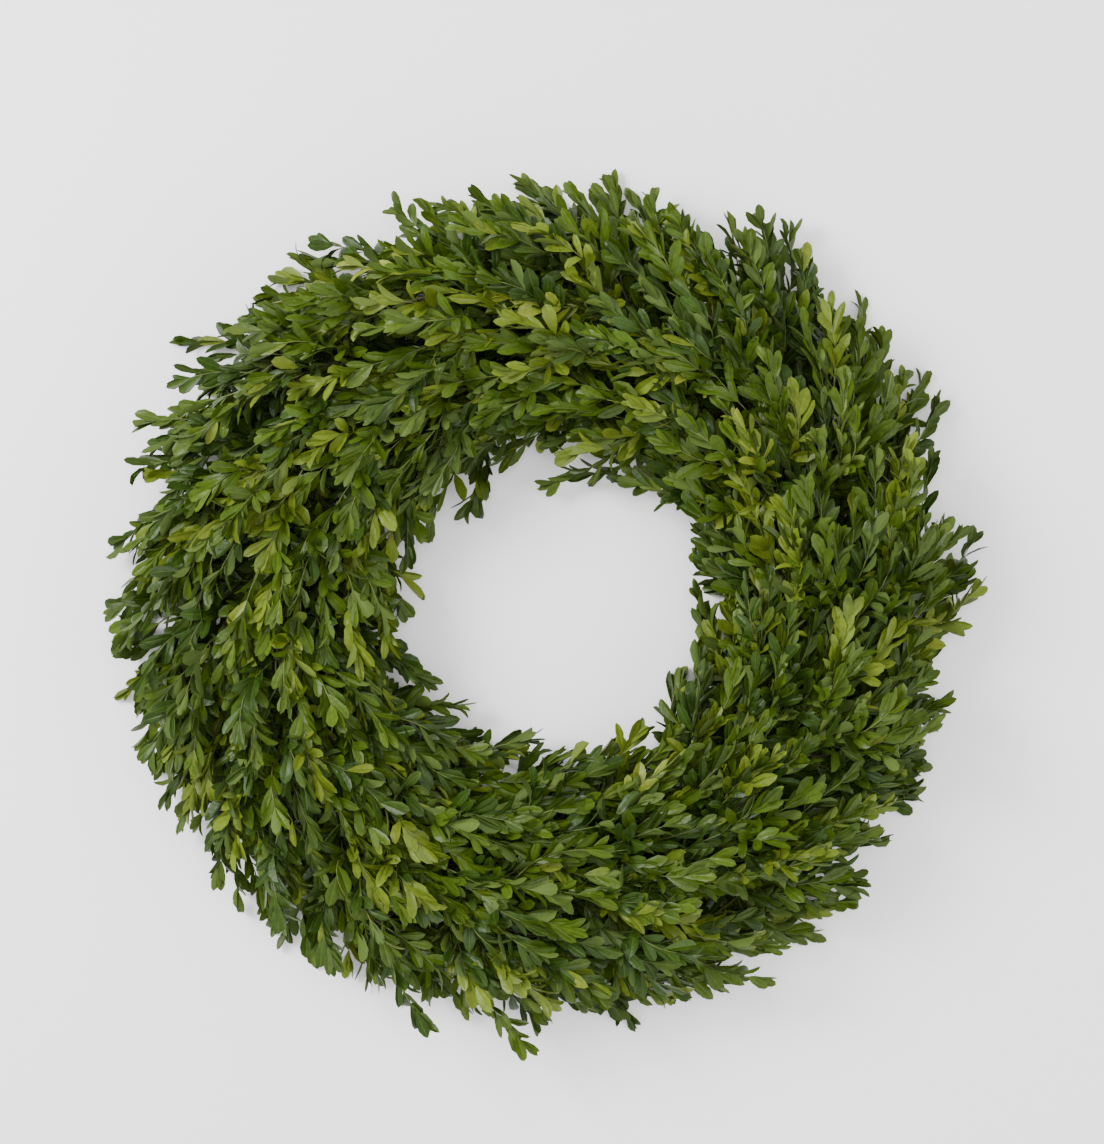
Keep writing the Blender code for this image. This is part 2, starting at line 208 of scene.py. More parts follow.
# How leaves are turned round their own midrib: the spread in degrees of most of them, that of the loose
# ones, and the shares of leaves that are loose and that show their underside
LEAF_ROLL = 24
LOOSE_ROLL = 62
LOOSE_SHARE = 0.45
FLIPPED_SHARE = 0.05
LEAF_BEND = (16, 24)  # degrees from base to tip, middle and spread
LEAF_CUP = (0.22, 0.30)  # how much the rims are raised, as a share of the half width, middle and spread
LEAF_BULGE = 0.16  # how much each half is domed, as a share of the half width
LEAF_THICKNESS = 0.00012  # under the midrib
LEAF_THICKENS = 0.06  # how much thicker it is there where it is wider, as a share of the half width
FLOOR_BEND = 0.0030  # leaves flatten below this height
DEEPEST_LEAF = -0.0060  # and those that would lie deeper than this are left out
HIGHEST_LEAF = cad_box[1].z + 0.009
SEED = 5

LEAF_COLOURS = {
    "deep": (0.0192, 0.0405, 0.0050),
    "mid": (0.0375, 0.066, 0.0052),
    "fresh": (0.088, 0.121, 0.0104),
    "yellow": (0.140, 0.170, 0.0180),
    "grey": (0.030, 0.052, 0.009),
}
COLOUR_SHARES = (35, 46, 14.5, 1.2, 3.3)  # percent of the sprigs, in the same order
SPRIG_SHADE = (0.86, 1.16)
LEAF_SHADE = (0.82, 1.18)
TIP_FRESHNESS = 0.30  # how far the tip's leaves go towards the fresh colour at most
FRESHNESS_FALLS = 0.10  # and how much less those of each further pair do
ODD_SHARE = 0.10  # of the leaves go towards another colour
ODD_BLEND = 0.6
STEM_TINT = (0.1, 0.15, 0.02)  # what the points of stems carry in place of a leaf's colour


def between(first, last, share):
    return first + (last - first) * share


def smooth_step(value):
    value = min(max(value, 0.0), 1.0)
    return value * value * (3 - 2 * value)


def square_to(direction, vector):
    """What is left of a vector without its part along a direction, made one long."""
    return (vector - direction * vector.dot(direction)).normalized()


def section_direction(theta, phi):
    """Away from the middle of the ring's section: phi is 0 away from the hole, 90 degrees in front."""
    across = math.cos(phi)
    return Vector((across * math.cos(theta), across * math.sin(theta), math.sin(phi)))


def ring_point(theta, phi, distance):
    """A place at a distance from the middle of the ring's section."""
    middle = RING_MIDDLE + Vector((RING_RADIUS * math.cos(theta), RING_RADIUS * math.sin(theta), 0.0))
    return middle + section_direction(theta, phi) * distance


def station_angle(station, phi):
    """Where the wire of a station passes over a side of the ring's section, round the ring."""
    half_step = TURN / (2 * STATIONS * RING_STEPS_PER_STATION)
    return half_step + TURN / STATIONS * (station + (phi + math.pi / 2) / TURN)


def ring_distance(place):
    """How far a place is from the middle of the wreath, seen from the front."""
    return math.hypot(place.x - RING_MIDDLE.x, place.y - RING_MIDDLE.y)


def away_from_hole(place):
    """The level way from the middle of the wreath to a place."""
    return Vector((place.x - RING_MIDDLE.x, place.y - RING_MIDDLE.y, 0.0)).normalized()


def swell(place, swells):
    """How much further out than elsewhere an edge lies in the direction of a place."""
    towards = math.degrees(math.atan2(place.y - RING_MIDDLE.y, place.x - RING_MIDDLE.x))
    reach = 0.0
    for direction, spread, most in swells:
        off = (towards - direction + 180) % 360 - 180
        reach += most * math.exp(-((off / spread) ** 2))
    return reach


def steered(place, direction):
    """A direction, turned so that it doesn't lead through the floor or past the greatest height."""
    turned = direction.copy()
    turned.z = min(max(turned.z, (FLOOR_EDGE - place.z) / SOFT_EDGE), (TOP_EDGE - place.z) / SOFT_EDGE)
    return turned.normalized()


def flow(place, rise):
    """The way that shoots lie at a place."""
    away = away_from_hole(place)
    share = (ring_distance(place) - RING_RADIUS) / (RIM_EDGE[0] - RING_RADIUS)
    turn = math.radians(FLOW_TURN + share * (FLOW_TURN_OUT if share > 0 else FLOW_TURN_IN))
    way = Vector((-away.y, away.x, 0.0)) * math.cos(turn) + away * math.sin(turn)
    way.z = rise - FLOW_FALL * abs(share * math.sin(turn))
    return way.normalized()


def facing(place):
    """The way that leaves face at a place: away from the ring's section, and more to the front."""
    from_ring = (place - RING_MIDDLE - away_from_hole(place) * RING_RADIUS).normalized()
    return (from_ring + Vector((0.0, 0.0, FRONTWARD))).normalized()


class BunchAxis:
    """The line along the middle of a bunch, walked in small steps from its cut end to its tip."""

    STEP = 0.001

    def __init__(self, row, station, length):
        seat = math.radians(row["seat"])
        lean = math.radians(row["lean"] + (row["sway"] if station % 2 else -row["sway"]))
        faces = math.radians(row["faces"])
        first_lift, last_lift = (math.radians(angle) for angle in row["lift"])
        self.length = length
        self.points = []
        self.outward = []
        theta = station_angle(station, seat) - STEM_TAIL / RING_RADIUS
        distance = STEM_SEAT
        for step in range(round((STEM_TAIL + length) / self.STEP) + 1):
            past_lift_off = step * self.STEP - STEM_TAIL - STEM_LIFT_OFF
            share = max(past_lift_off, 0.0) / (length - STEM_LIFT_OFF)
            settled = min(share / row["lifted"], 1.0)
            lift = between(first_lift, last_lift, settled) * smooth_step(share / LIFTED_BY)
            phi = between(seat, lean, smooth_step(share / LEANS_BY))
            face_angle = between(seat, faces, smooth_step(share / FACES_BY))
            self.points.append(ring_point(theta, phi, distance))
            self.outward.append(section_direction(theta, face_angle))
            theta += math.cos(lift) * self.STEP / (RING_RADIUS + distance * math.cos(phi))
            distance += math.sin(lift) * self.STEP

    def at(self, along):
        """Point, direction, outward direction and sideways direction at a distance past the wire."""
        index = min(max(round((along + STEM_TAIL) / self.STEP), 1), len(self.points) - 2)
        direction = (self.points[index + 1] - self.points[index - 1]).normalized()
        outward = square_to(direction, self.outward[index])
        return self.points[index], direction, outward, direction.cross(outward)


# The mesh of one leaf: five rows from base to tip, of which the first and last are single points. The
# others have five points across the upper side and one under the midrib.
ROW_SHARES = (0.33, 0.68, 0.90)
COLUMNS = (-1.0, -0.5, 0.0, 0.5, 1.0)


def leaf_template():
    """A leaf's points, as shares across and along it and a 1 for those underneath, and its faces."""
    last_row = len(ROW_SHARES) - 1
    last_column = len(COLUMNS) - 1
    points = [(0.0, 0.0, 0.0)]
    points += [(across, along, 0.0) for along in ROW_SHARES for across in COLUMNS]
    points += [(0.0, 1.0, 0.0)]
    points += [(0.0, along, 1.0) for along in ROW_SHARES]
    base = 0
    tip = 1 + len(ROW_SHARES) * len(COLUMNS)

    def upper(row, column):
        return 1 + row * len(COLUMNS) + column

    def under(row):
        return tip + 1 + row

    top = []
    for column in range(last_column):
        top.append((base, upper(0, column + 1), upper(0, column)))
        top.append((upper(last_row, column), upper(last_row, column + 1), tip))
        for row in range(last_row):
            near = (upper(row, column), upper(row, column + 1))
            far = (upper(row + 1, column + 1), upper(row + 1, column))
            top.append(near + far)
    bottom = [
        (base, upper(0, 0), under(0)),
        (base, under(0), upper(0, last_column)),
        (tip, under(last_row), upper(last_row, 0)),
        (tip, upper(last_row, last_column), under(last_row)),
    ]
    for row in range(last_row):
        bottom.append((upper(row, 0), upper(row + 1, 0), under(row + 1), under(row)))
        bottom.append((under(row), under(row + 1), upper(row + 1, last_column), upper(row, last_column)))
    return np.array(points), top, bottom


LEAF_POINTS, LEAF_TOP, LEAF_BOTTOM = leaf_template()
# The lines of sharp edges, both from base to tip: round the leaf, and along its midrib on the upper side
ON_MIDDLE = LEAF_POINTS[:, 0] == 0.0
IS_END = ON_MIDDLE & np.isin(LEAF_POINTS[:, 1], (0.0, 1.0))
LEAF_RIM = (np.abs(LEAF_POINTS[:, 0]) == 1.0) | IS_END
LEAF_RIB = ON_MIDDLE & (LEAF_POINTS[:, 2] == 0.0)

# How a leaf narrows towards its base and towards its tip: the pointed kind and the blunt kind
POINTED = (1.05, 0.80)
BLUNT = (1.45, 0.56)


def leaf_width(along, kind):
    """Share of the half width at a share of the length: a wedge at the base and a rounder tip."""
    base_taper, tip_taper = kind
    shape = along**base_taper * np.maximum(1 - along, 0) ** tip_taper
    widest = base_taper / (base_taper + tip_taper)
    return shape / (widest**base_taper * (1 - widest) ** tip_taper)


def link_object(name, data):
    made = bpy.data.objects.new(name, data)
    bpy.context.collection.objects.link(made)
    return made


def put_on_points(mesh, name, kind, field, values):
    """Gives each point of a mesh a value of its own, for the materials to read."""
    attribute = mesh.attributes.new(name, kind, "POINT")
    attribute.data.foreach_set(field, np.array(values).ravel())


def renumbered(faces, first):
    """Faces whose points are counted from a number instead of from 0."""
    return [tuple(first + corner for corner in face) for face in faces]


def tube(path, radii, sides):
    """A closed round tube along a path."""
    points, faces = [], []
    ahead = (path[1] - path[0]).normalized()
    across = ahead.orthogonal().normalized()
    for index, place in enumerate(path):
        ahead = (path[min(index + 1, len(path) - 1)] - path[max(index - 1, 0)]).normalized()
        across = square_to(ahead, across)
        up = ahead.cross(across)
        for side in range(sides):
            angle = TURN * side / sides
            points.append(place + (across * math.cos(angle) + up * math.sin(angle)) * radii[index])
    for ring in range(len(path) - 1):
        this, following = ring * sides, (ring + 1) * sides
        for side in range(sides):
            beside = (side + 1) % sides
            faces.append((this + side, this + beside, following + beside, following + side))
    last = (len(path) - 1) * sides
    faces.append(tuple(reversed(range(sides))))
    faces.append(tuple(last + side for side in range(sides)))
    return [tuple(point) for point in points], faces


# The material slots of a bunch
UPPER_SLOT, UNDER_SLOT, SHOOT_SLOT, STEM_SLOT = range(4)


class Foliage:
    """Gathers leaves and stems, and makes one mesh of them."""

    def __init__(self):
        self.leaves = []
        self.tubes = []

    def add_leaf(self, base, run, normal, length, half_width, bend, cup, blunt, colour):
        self.leaves.append((*base, *run, *normal, length, half_width, bend, cup, blunt, *colour))

    def add_tube(self, points, radii, sides, slot):
        self.tubes.append((points, radii, sides, slot))

    def leaf_points(self):
        """Points of all leaves, and the colour and the place on its leaf that each point carries."""
        # a leaf's row: three numbers each for base, run and normal, five for form, three for colour
        data = np.array(self.leaves)[:, None, :]
        base, run, normal, form, colour = np.split(data, (3, 6, 9, 14), axis=2)
        length, half_width, bend, cup, blunt = np.moveaxis(form, 2, 0)[..., None]
        across, along, under = LEAF_POINTS.T[:, None, :, None]
        width = leaf_width(along, POINTED) * (1 - blunt) + leaf_width(along, BLUNT) * blunt
        width = width * half_width
        angle = bend * along
        chord = length * along * np.sinc(angle / TURN)  # from the base straight to a place on the bent leaf
        forward = chord * np.cos(angle / 2)
        drop = chord * np.sin(angle / 2)
        tilted = normal * np.cos(angle) + run * np.sin(angle)
        bulge = 4 * np.abs(across) * (1 - np.abs(across)) * LEAF_BULGE
        rise = width * (cup * across**2 + bulge) - under * (LEAF_THICKNESS + LEAF_THICKENS * width)
        sideways = np.cross(run, normal) * (across * width)
        points = base + run * forward - normal * drop + sideways + tilted * rise
        height = points[..., 2]
        clear = (height.min(axis=1) > DEEPEST_LEAF) & (height.max(axis=1) < HIGHEST_LEAF)
        # a leaf that meets the floor bends along it
        bent = FLOOR_BEND * np.exp(height / FLOOR_BEND - 1)
        points[..., 2] = np.where(height < FLOOR_BEND, bent, height)
        colours = np.repeat(colour[clear], len(LEAF_POINTS), axis=1)
        places = np.tile(LEAF_POINTS, (clear.sum(), 1))
        return points[clear].reshape(-1, 3), colours.reshape(-1, 3), places

    def make(self, name, materials):
        """The mesh of all leaves and stems, as one object."""
        points, colours, places = (list(values) for values in self.leaf_points())
        count = len(points) // len(LEAF_POINTS)
        faces = []
        for leaf in range(count):
            faces += renumbered(LEAF_TOP + LEAF_BOTTOM, leaf * len(LEAF_POINTS))
        slots = ([UPPER_SLOT] * len(LEAF_TOP) + [UNDER_SLOT] * len(LEAF_BOTTOM)) * count
        for path, radii, sides, slot in self.tubes:
            tube_points, tube_faces = tube(path, radii, sides)
            faces += renumbered(tube_faces, len(points))
            slots += [slot] * len(tube_faces)
            points += tube_points
            colours += [STEM_TINT] * len(tube_points)
            places += [(0.0, 0.0, 0.0)] * len(tube_points)
        mesh = bpy.data.meshes.new(name)
        mesh.from_pydata([tuple(point) for point in points], [], faces)
        for material in materials:
            mesh.materials.append(material)
        mesh.polygons.foreach_set("material_index", slots)
        mesh.shade_smooth()
        rgba = np.ones((len(points), 4))
        rgba[:, :3] = colours
        put_on_points(mesh, "leaf_colour", "FLOAT_COLOR", "color", rgba)
        put_on_points(mesh, "leaf_place", "FLOAT_VECTOR", "vector", places)
        ends = np.zeros(len(mesh.edges) * 2, np.int32)
        mesh.edges.foreach_get("vertices", ends)
        ends = ends.reshape(-1, 2)
        creased = np.zeros(len(ends), bool)
        for line in (LEAF_RIM, LEAF_RIB):
            on_line = np.zeros(len(points), bool)
            on_line[: count * len(line)] = np.tile(line, count)
            creased |= on_line[ends[:, 0]] & on_line[ends[:, 1]]
        sharp = mesh.attributes.new("sharp_edge", "BOOLEAN", "EDGE")
        sharp.data.foreach_set("value", creased)
        return link_object(name, mesh)


def shoot_path(axis, base, start, step, around, first_turn, draws):
    """The places and ways of a shoot that leaves its stem and bends round into the wreath's flow."""
    hole, rim = draws.gauss(*HOLE_EDGE), draws.gauss(*RIM_EDGE)
    _, along, outward, side = axis.at(start)
    spread = side * math.cos(around) + outward * math.sin(around)
    first_way = along * math.cos(first_turn) + spread * math.sin(first_turn)
    rise = draws.gauss(*FLOW_RISE)
    place = base
    path, ways = [], []
    for index in range(SPRIG_STEPS + 1):
        settled = smooth_step(index / SPRIG_STEPS)
        way = steered(place, first_way.lerp(flow(place, rise), settled))
        path.append(place)
        ways.append(way)
        place = place + way * step
        inner_edge = hole + swell(place, HOLE_SWELLS)
        outer_edge = rim + swell(place, RIM_SWELLS)
        if not inner_edge < ring_distance(place) < outer_edge:
            break
    return path, ways


def grow_pair(foliage, node, direction, sprig_roll, pair, draws, colour_of):
    """Two opposite leaves at a node of a shoot."""
    outward = square_to(direction, facing(node))
    outward = Matrix.Rotation(sprig_roll, 3, direction) @ outward
    side = direction.cross(outward)
    setting = PAIR_SETTING[pair % len(PAIR_SETTING)]
    from_tip = min(pair, len(OPENINGS) - 1)
    for hand in (-1, 1):
        azimuth = math.radians(setting + draws.gauss(0, SETTING_SPREAD))
        away = side * (hand * math.cos(azimuth)) + outward * math.sin(azimuth)
        opening = math.radians(OPENINGS[from_tip] + draws.gauss(0, OPENING_SPREAD))
        run = steered(node, direction * math.cos(opening) + away * math.sin(opening))
        inner_side = direction * math.sin(opening) - away * math.cos(opening)
        normal = square_to(run, outward + inner_side * FACES_SHOOT)
        roll_spread = LOOSE_ROLL if draws.random() < LOOSE_SHARE else LEAF_ROLL
        roll = math.radians(draws.gauss(0, roll_spread))
        if draws.random() < FLIPPED_SHARE:
            roll += math.pi
        normal = Matrix.Rotation(roll, 3, run) @ normal
        size = LEAF_SIZES[from_tip] * draws.uniform(*SIZE_SPREAD)
        foliage.add_leaf(
            node,
            run,
            normal,
            LEAF_LENGTH * size,
            LEAF_HALF_WIDTH * size * draws.uniform(*WIDTH_SPREAD),
            math.radians(draws.gauss(*LEAF_BEND)),
            abs(draws.gauss(*LEAF_CUP)),
            draws.uniform(*BLUNTNESS),
            colour_of(pair),
        )


def leaf_colouring(draws):
    """How a sprig's leaves are coloured: what they are at heart, and how each varies from that."""
    heart = draws.choices(list(LEAF_COLOURS), COLOUR_SHARES)[0]
    shade = draws.uniform(*SPRIG_SHADE)

    def colour_of(pair):
        base = Vector(LEAF_COLOURS[heart]) * shade
        young = max(0.0, TIP_FRESHNESS - FRESHNESS_FALLS * pair) * draws.random()
        base = base.lerp(Vector(LEAF_COLOURS["fresh"]), young)
        if draws.random() < ODD_SHARE:
            base = base.lerp(Vector(LEAF_COLOURS[draws.choice(list(LEAF_COLOURS))]), ODD_BLEND)
        return tuple(base * draws.uniform(*LEAF_SHADE))

    return colour_of


def grow_sprig(foliage, axis, base, start, length, around, first_turn, draws):
    """A shoot with leaves in opposite pairs, counted from its tip."""
    colour_of = leaf_colouring(draws)
    step = length / SPRIG_STEPS
    path, ways = shoot_path(axis, base, start, step, around, first_turn, draws)
    sprig_roll = math.radians(draws.gauss(0, SPRIG_ROLL))
    if len(path) < FEWEST_POINTS:
        return
    radii = [between(*SHOOT_RADII, index / len(path)) for index in range(len(path))]
    foliage.add_tube(path, radii, SHOOT_SIDES, SHOOT_SLOT)
    pair = 0
    along = step * (len(path) - 1)
    while along > LOWEST_PAIR:
        index = min(int(along / step), len(path) - 2)
        node = path[index].lerp(path[index + 1], along / step - index)
        grow_pair(foliage, node, ways[index], sprig_roll, pair, draws, colour_of)
        pair += 1
        along -= PAIR_SPACING * (FIRST_SPACING if pair == 1 else draws.uniform(*SPACING_SPREAD))


def stem_point(axis, stem, along, plan):
    """Where one of a bunch's stems runs: beside the bunch's axis, and round the wreath once far out."""
    point, _, outward, side = axis.at(along)
    angle = TURN * stem / STEMS + TURN / 4
    fanned = smooth_step(along / (axis.length * FANNED_BY))
    bundled = (side * math.cos(angle) + outward * math.sin(angle)) * STEM_BUNDLE
    spread = side * (STEM_FAN[stem] * plan["fan"]) - outward * plan["sink"]
    point = point + bundled.lerp(spread, fanned)
    past = ring_distance(point) - swell(point, RIM_SWELLS) - (plan["edges"][stem] - STEM_EDGE_BEND)
    if past > 0:
        kept = STEM_EDGE_BEND * (1 - math.exp(-past / STEM_EDGE_BEND))
        point -= away_from_hole(point) * (past - kept)
    return point


def grow_bunch(foliage, axis, plan, draws):
    """The stems of a bunch and all its sprigs."""

    def grow(stem, start, around, length, first_turn):
        base = stem_point(axis, stem, start, plan)
        first_way = (math.radians(around), math.radians(first_turn))
        grow_sprig(foliage, axis, base, start, length, *first_way, draws)

    reaches = [axis.length * end for end in plan["ends"]]
    for stem, reach in enumerate(reaches):
        end = reach - END_SPRIG_ROOM
        shares = [step / STEM_STEPS for step in range(STEM_STEPS + 1)]
        path = [stem_point(axis, stem, between(-STEM_TAIL, end, share), plan) for share in shares]
        foliage.add_tube(path, [between(*STEM_RADII, share) for share in shares], STEM_SIDES, STEM_SLOT)
        grow(stem, end, 0, END_SPRIG + END_SPRIG_LONGER * stem, 0)
    for index in range(plan["count"]):
        stem = index % STEMS
        share = (index + draws.random()) / plan["count"]
        start = between(ALONG_STARTS[0], reaches[stem] - ALONG_STARTS[1], share)
        around = LEANS[index % len(LEANS)] + draws.gauss(0, LEAN_SPREAD)
        grow(stem, start, around, draws.uniform(*plan["length"]), draws.uniform(*plan["turn"]))
    for index in range(plan["low"]):
        around = between(*LOW_AROUND, (index + draws.random()) / plan["low"])
        start = between(*LOW_STARTS, (index * GOLDEN_SHARE + LOW_START_SPREAD * draws.random()) % 1)
        grow(index % STEMS, start, around, draws.uniform(*plan["length"]), draws.uniform(*LOW_TURN))
    for index in range(plan["side"]):
        start = between(*SIDE_STARTS, (index + draws.random()) / plan["side"])
        around = draws.uniform(*SIDE_AROUND)
        grow(index % STEMS, start, around, draws.uniform(*SIDE_LENGTH), draws.uniform(*SIDE_TURN))


class Surface:
    """A material in the making, with the few kinds of node that the materials here are made of."""

    def __init__(self, name, roughness):
        self.material = bpy.data.materials.new(name)
        self.material.use_nodes = True
        self.nodes = self.material.node_tree.nodes
        self.link = self.material.node_tree.links.new
        self.shader = self.nodes["Principled BSDF"]
        self.shader.inputs["Roughness"].default_value = roughness

    def object_place(self):
        return self.nodes.new("ShaderNodeTexCoord").outputs["Object"]

    def carried(self, name, output):
        """What each point carries under a name."""
        attribute = self.nodes.new("ShaderNodeAttribute")
        attribute.attribute_name = name
        return attribute.outputs[output]

    def noise(self, place, scale, detail):
        noise = self.nodes.new("ShaderNodeTexNoise")
        noise.inputs["Scale"].default_value = scale
        noise.inputs["Detail"].default_value = detail
        self.link(place, noise.inputs["Vector"])
        return noise.outputs[0]

    def ranged(self, value, source, target):
        """A value taken from one range to another."""
        mapped = self.nodes.new("ShaderNodeMapRange")
        for side, ends in (("From", source), ("To", target)):
            for socket, end in zip(("Min", "Max"), ends):
                mapped.inputs[f"{side} {socket}"].default_value = end
        self.link(value, mapped.inputs["Value"])
        return mapped.outputs[0]

    def mix(self, colour, other):
        """The node that mixes a colour with a fixed one. Its factor is still to be set."""
        mixed = self.nodes.new("ShaderNodeMix")
        mixed.data_type = "RGBA"
        mixed.inputs["B"].default_value = other
        self.link(colour, mixed.inputs["A"])
        return mixed

    def paint(self, colour):
        self.link(colour, self.shader.inputs["Base Color"])

    def bump(self, height, strength, distance):
        bump = self.nodes.new("ShaderNodeBump")
        bump.inputs["Strength"].default_value = strength
        bump.inputs["Distance"].default_value = distance
        self.link(height, bump.inputs["Height"])
        self.link(bump.outputs[0], self.shader.inputs["Normal"])


# A leaf's surface: the pale line of its midrib, mottling, the dull underside and fine puckers
RIB_COLOUR = (0.22, 0.28, 0.05, 1.0)
RIB_EDGES = (0.03, 0.12)  # where the line starts to fade and where it ends, as shares of the half width
RIB_PALENESS = 0.12
MOTTLE_SCALE = 260
MOTTLE_DETAIL = 2
MOTTLE_NOISE = (0.3, 0.7)  # the values of the noise that become the darkest and the lightest shade
MOTTLE_SHADES = (0.84, 1.14)
UNDERSIDE_COLOUR = (0.078, 0.115, 0.026, 1.0)
UNDERSIDE_SHARE = 0.5
UPPER_ROUGHNESS = 0.32
UNDER_ROUGHNESS = 0.62
LEAF_GLOSS = 0.13
PUCKER_SCALE = 520
PUCKER_DETAIL = 1
PUCKER_STRENGTH = 0.35
PUCKER_DEPTH = 0.0006


def leaf_material(name, under):
    leaf = Surface(name, UNDER_ROUGHNESS if under else UPPER_ROUGHNESS)
    leaf.shader.inputs["Specular IOR Level"].default_value = LEAF_GLOSS
    split = leaf.nodes.new("ShaderNodeSeparateXYZ")
    leaf.link(leaf.carried("leaf_place", "Vector"), split.inputs[0])
    across = leaf.nodes.new("ShaderNodeMath")
    across.operation = "ABSOLUTE"
    leaf.link(split.outputs["X"], across.inputs[0])
    rib = leaf.mix(leaf.carried("leaf_colour", "Color"), RIB_COLOUR)
    leaf.link(leaf.ranged(across.outputs[0], RIB_EDGES, (RIB_PALENESS, 0.0)), rib.inputs["Factor"])
    place = leaf.object_place()
    mottling = leaf.ranged(leaf.noise(place, MOTTLE_SCALE, MOTTLE_DETAIL), MOTTLE_NOISE, MOTTLE_SHADES)
    mottled = leaf.nodes.new("ShaderNodeVectorMath")
    mottled.operation = "SCALE"
    leaf.link(rib.outputs["Result"], mottled.inputs[0])
    leaf.link(mottling, mottled.inputs["Scale"])
    if under:
        dull = leaf.mix(mottled.outputs[0], UNDERSIDE_COLOUR)
        dull.inputs["Factor"].default_value = UNDERSIDE_SHARE
        leaf.paint(dull.outputs["Result"])
    else:
        leaf.paint(mottled.outputs[0])
    leaf.bump(leaf.noise(place, PUCKER_SCALE, PUCKER_DETAIL), PUCKER_STRENGTH, PUCKER_DEPTH)
    return leaf.material


# A surface of two mottled colours in relief
RELIEF_DETAIL = 5
RELIEF_STRENGTH = 0.6
RAMP_ENDS = (0.35, 0.65)  # the values of the noise that take the first and the second colour


def mottled_material(name, first, second, scale, roughness, depth, along=None):
    """With along, the mottling follows what the points carry under that name, instead of their places."""
    made = Surface(name, roughness)
    place = made.carried(along, "Vector") if along else made.object_place()
    noise = made.noise(place, scale, RELIEF_DETAIL)
    ramp = made.nodes.new("ShaderNodeValToRGB")
    for stop, position, colour in zip(ramp.color_ramp.elements, RAMP_ENDS, (first, second)):
        stop.position = position
        stop.color = (*colour, 1)
    made.link(noise, ramp.inputs[0])
    made.paint(ramp.outputs[0])
    made.bump(noise, RELIEF_STRENGTH, depth)
    return made.material


UPPER = leaf_material("leaf_upper_side", False)
UNDER = leaf_material("leaf_underside", True)
SHOOT = mottled_material(
    "green_shoot", (0.046, 0.068, 0.008), (0.095, 0.120, 0.014), scale=180, roughness=0.6, depth=0.0002
)
STEM_BARK = mottled_material(
    "stem_bark", (0.026, 0.024, 0.010), (0.060, 0.050, 0.022), scale=240, roughness=0.8, depth=0.0004
)
TWIG_BARK = mottled_material(
    "twig_bark", (0.022, 0.013, 0.008), (0.095, 0.062, 0.040), scale=420, roughness=0.85, depth=0.0007,
    along="bark_place",
)
WIRE_ENAMEL = mottled_material(
    "wire_enamel", (0.020, 0.040, 0.020), (0.034, 0.060, 0.030), scale=300, roughness=0.42, depth=0.0001
)

# The bunches
lengths = random.Random(SOLIDS_SEED)
draws = random.Random(SEED)
for row_name, row in ROWS.items():
    for station in range(STATIONS):
        node = f"bunch_{row_name}_{station + 1:02d}"
        tip_angle = station_angle(station + 1, math.radians(row["seat"]))
        fullness = FULLNESS * math.cos(tip_angle - FULLER_TOWARDS)
        length = row["length"] * (1 + fullness + lengths.uniform(-LENGTH_SPREAD, LENGTH_SPREAD))
        foliage = Foliage()
        grow_bunch(foliage, BunchAxis(row, station, length), SPRIG_ROWS[row_name], draws)
        piece = foliage.make(node + "_sprigs", (UPPER, UNDER, SHOOT, STEM_BARK))
        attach(piece, "root")
        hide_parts(node)


def plain_piece(name, points, faces, material, node, bark_places=None):
    """One smooth mesh that stands for a node."""
    mesh = bpy.data.meshes.new(name)
    mesh.from_pydata(points, [], faces)
    if bark_places:
        put_on_points(mesh, "bark_place", "FLOAT_VECTOR", "vector", bark_places)
    mesh.materials.append(material)
    mesh.shade_smooth()
    piece = link_object(name, mesh)
    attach(piece, "root")
    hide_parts(node)


# The ring: long twigs twined round each other, each with a thick cut end and a thin one
TWIGS = 5
TWIG_TURNS = 5
TWIG_FROM_MIDDLE = 0.0077
TWIG_RADIUS = (0.0047, 0.0039)  # at its thick end and at its thin end
TWIG_GAP = 0.055  # radians between one twig's two ends
TWIG_STEPS = 210
TWIG_SIDES = 10
# How a twig sways: how many waves, how many times each goes up and down round the ring, and how much they
# turn the twig round the ring's section, draw it in and thicken it
SWAY_WAVES = 3
SWAY_COUNTS = (3, 9)
SWAY_TURN = 0.05
SWAY_IN = 0.00012
SWAY_THICKENS = 0.02
# Ridges of the bark: their height, how fast they follow each other from side to side, and how they wander
BARK_RIDGE = 0.00028
RIDGE_TURN = 2.3
RIDGE_WANDER = 0.9
WANDER_TURN = 0.31
BARK_STRETCH = 14  # how much longer than wide the marks of the bark are
# The thick places that the ring rests on: degrees round the ring, spread, and how high up they reach
KNOT_ANGLES = (41.8, 170.4, 273.2)
KNOT_SPREAD = math.radians(3.0)
KNOT_TOP = RING_HEIGHT - 0.5 * RING_SECTION


